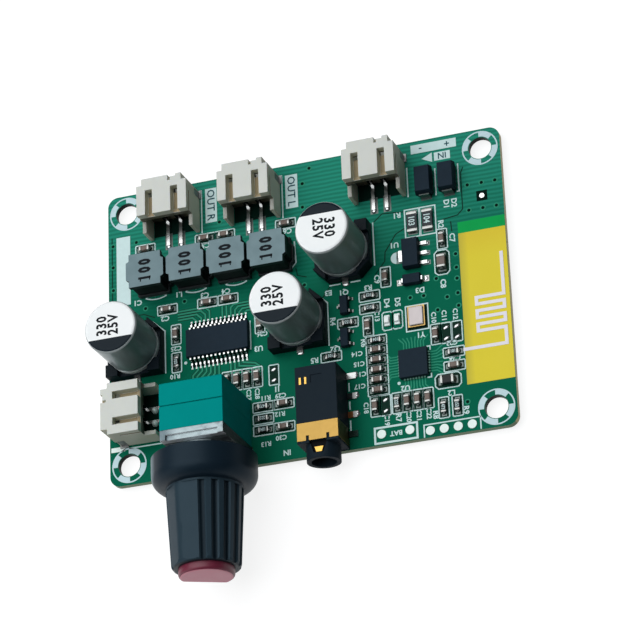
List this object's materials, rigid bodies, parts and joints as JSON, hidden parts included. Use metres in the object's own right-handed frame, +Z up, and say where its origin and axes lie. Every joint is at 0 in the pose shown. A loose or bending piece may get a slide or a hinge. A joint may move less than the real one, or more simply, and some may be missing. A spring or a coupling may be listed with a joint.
{
  "type": "audio amplifier board",
  "caption": "Stereo audio amplifier circuit board with wire sockets, filter inductors, tall capacitors, an audio jack, a printed aerial and a volume knob that turns.",
  "frame": {"origin": "middle of the four screw holes, on the board's underside", "axes": "+X along the long edge towards the aerial, +Y towards the speaker sockets, +Z up through the parts"},
  "size_m": [0.061, 0.0639, 0.016],
  "materials": {
    "board": "green lacquer over laminate",
    "tin": "bright tinned metal",
    "socket_plastic": "natural ivory nylon",
    "ferrite": "ground grey ferrite",
    "resin": "black resin",
    "can": "satin drawn can",
    "seat_plastic": "black moulding",
    "chip_plastic": "charcoal moulding compound",
    "lid_metal": "plated lid",
    "resistor_glaze": "black glaze",
    "capacitor_ceramic": "brown ceramic",
    "led_white": "white carrier",
    "led_lens": "clear yellowish resin",
    "jack_plastic": "black moulding",
    "gold": "gold plated",
    "wafer": "teal moulding",
    "plate_metal": "bright cast metal",
    "shaft_metal": "turned metal",
    "rotor_plastic": "ivory moulding",
    "knob_plastic": "blue-black satin moulding",
    "cap_plastic": "dusky red moulding"
  },
  "bodies": {
    "board": {"pcb": "board", "antenna_trace": "tin", "solder_pads": "tin", "socket_contacts": "tin", "socket_tabs": "tin", "inductor_terminals": "tin", "capacitor_leads": "tin", "amplifier_leads": "tin", "radio_chip_toes": "tin", "regulator_leads": "tin", "small_diode_leads": "tin", "transistor_leads": "tin", "power_diode_terminals": "tin", "resistor_ends": "tin", "chip_capacitor_ends": "tin", "bead_ends": "tin", "pot_terminals": "tin", "speaker_right_housing": "socket_plastic", "speaker_left_housing": "socket_plastic", "power_housing": "socket_plastic", "side_housing": "socket_plastic", "inductor_1_core": "ferrite", "inductor_2_core": "ferrite", "inductor_3_core": "ferrite", "inductor_4_core": "ferrite", "inductor_1_winding": "resin", "inductor_2_winding": "resin", "inductor_3_winding": "resin", "inductor_4_winding": "resin", "capacitor_1_can": "can", "capacitor_2_can": "can", "capacitor_3_can": "can", "capacitor_1_seat": "seat_plastic", "capacitor_2_seat": "seat_plastic", "capacitor_3_seat": "seat_plastic", "amplifier_body": "chip_plastic", "radio_chip_body": "chip_plastic", "crystal_base": "chip_plastic", "regulator_body": "chip_plastic", "small_diode_body": "chip_plastic", "transistor_bodies": "chip_plastic", "power_diode_bodies": "chip_plastic", "crystal_lid": "lid_metal", "large_resistor_bodies": "resistor_glaze", "chip_resistor_bodies": "resistor_glaze", "bead_body": "resistor_glaze", "chip_capacitor_bodies": "capacitor_ceramic", "led_bases": "led_white", "led_lenses": "led_lens", "jack_housing": "jack_plastic", "jack_shell": "gold", "jack_contacts": "gold", "pot_front_wafer": "wafer", "pot_rear_wafer": "wafer", "pot_front_plate": "plate_metal"},
    "volume_knob": {"pot_shaft": "shaft_metal", "pot_rotors": "rotor_plastic", "knob": "knob_plastic", "knob_cap": "cap_plastic"}
  },
  "joints": [
    {"name": "volume_turn", "type": "hinge", "parent": "board", "child": "volume_knob", "pos_m": [-0.01345, -0.0235, 0.0075], "axis": [0, 1, 0], "range_deg": [-150, 150]}
  ]
}
